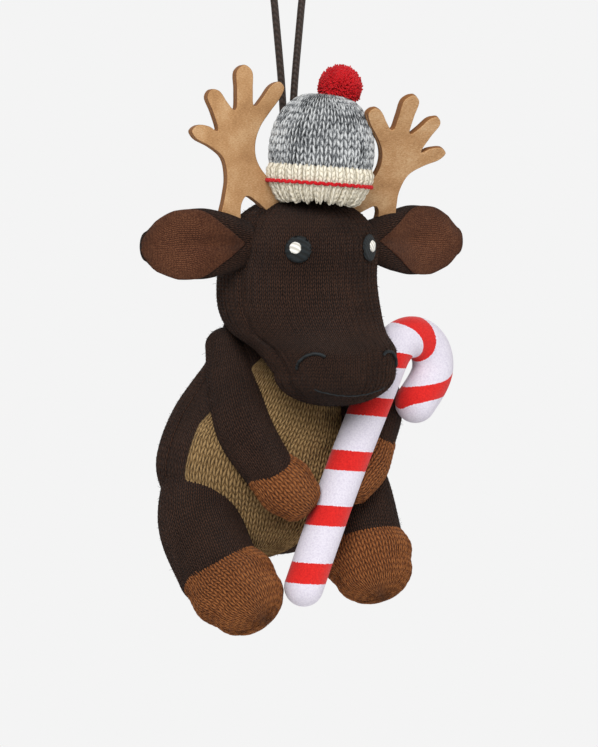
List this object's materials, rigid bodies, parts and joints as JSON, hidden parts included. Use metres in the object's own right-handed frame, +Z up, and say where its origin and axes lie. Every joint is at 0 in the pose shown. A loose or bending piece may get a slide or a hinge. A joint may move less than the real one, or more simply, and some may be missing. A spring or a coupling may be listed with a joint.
{
  "type": "moose ornament",
  "caption": "Hanging stuffed knit moose with felt antlers, knit hat with pompom, and a striped candy cane held between its mitts.",
  "frame": {"origin": "inside top of the hanging cord's loop, where a hook or twig carries it", "axes": "+Z up along the cord, -Y the way the moose faces, +X to its left"},
  "size_m": [0.0882, 0.0603, 0.1643],
  "materials": {
    "waxed_cord": "waxed cotton, satin",
    "dark_knit": "brushed stocking-stitch knit, matt",
    "belly_knit": "stocking-stitch knit, matt",
    "hoof_knit": "stocking-stitch knit, matt",
    "ear_lining_knit": "fine brushed knit, matt",
    "antler_felt": "pressed wool felt, matt",
    "grey_marl_knit": "marled rib knit, matt",
    "cream_rib_knit": "rib knit, matt",
    "red_yarn": "knitted yarn stripe, matt",
    "red_pompom": "trimmed yarn pompom, matt",
    "striped_plush": "short-pile plush printed with red bands",
    "black_thread": "embroidery thread, satin",
    "white_thread": "embroidery thread, satin"
  },
  "bodies": {
    "cord": {"hang_cord": "waxed_cord"},
    "head": {"head": "dark_knit", "hat_band": "cream_rib_knit", "hat_stripe": "red_yarn", "hat_crown": "grey_marl_knit", "pompom": "red_pompom", "mouth_seam": "black_thread", "antler_right": "antler_felt", "antler_left": "antler_felt", "eye_right": "black_thread", "eye_left": "black_thread", "eye_glint_right": "white_thread", "eye_glint_left": "white_thread", "nostril_right": "black_thread", "nostril_left": "black_thread"},
    "torso": {"torso": "dark_knit", "belly_panel": "belly_knit"},
    "arm_right": {"arm_right": "dark_knit", "mitt_right": "hoof_knit"},
    "arm_left": {"arm_left": "dark_knit", "mitt_left": "hoof_knit", "candy_cane": "striped_plush"},
    "leg_right": {"leg_right": "dark_knit", "foot_right": "hoof_knit"},
    "leg_left": {"leg_left": "dark_knit", "foot_left": "hoof_knit"},
    "ear_right": {"ear_right": "dark_knit", "ear_lining_right": "ear_lining_knit"},
    "ear_left": {"ear_left": "dark_knit", "ear_lining_left": "ear_lining_knit"}
  },
  "joints": [
    {"name": "cord_twist", "type": "hinge", "parent": "cord", "child": "head", "pos_m": [0, 0, -0.053], "axis": [0, 0, 1], "range_deg": [-90, 90]},
    {"name": "neck_nod", "type": "hinge", "parent": "head", "child": "torso", "pos_m": [0, 0.004, -0.084], "axis": [1, 0, 0], "range_deg": [0, 10], "stiffness_Nm_per_rad": 0.9},
    {"name": "shoulder_right", "type": "hinge", "parent": "torso", "child": "arm_right", "pos_m": [-0.0159, 0.0037, -0.09206], "axis": [0, 0, -1], "range_deg": [0, 14], "stiffness_Nm_per_rad": 0.12},
    {"name": "hip_right", "type": "hinge", "parent": "torso", "child": "leg_right", "pos_m": [-0.02152, 0.0043, -0.1243], "axis": [0, 1, 0], "range_deg": [0, 12], "stiffness_Nm_per_rad": 0.25},
    {"name": "ear_flap_right", "type": "hinge", "parent": "head", "child": "ear_right", "pos_m": [-0.01699, -0.01268, -0.06588], "axis": [0, 0, -1], "range_deg": [-8, 15], "stiffness_Nm_per_rad": 0.05},
    {"name": "shoulder_left", "type": "hinge", "parent": "torso", "child": "arm_left", "pos_m": [0.0159, 0.0037, -0.09206], "axis": [0, 0, 1], "range_deg": [0, 14], "stiffness_Nm_per_rad": 0.12},
    {"name": "hip_left", "type": "hinge", "parent": "torso", "child": "leg_left", "pos_m": [0.01452, 0.0043, -0.11996], "axis": [0, -1, 0], "range_deg": [0, 12], "stiffness_Nm_per_rad": 0.25},
    {"name": "ear_flap_left", "type": "hinge", "parent": "head", "child": "ear_left", "pos_m": [0.01699, -0.01268, -0.06588], "axis": [0, 0, 1], "range_deg": [-8, 15], "stiffness_Nm_per_rad": 0.05}
  ]
}
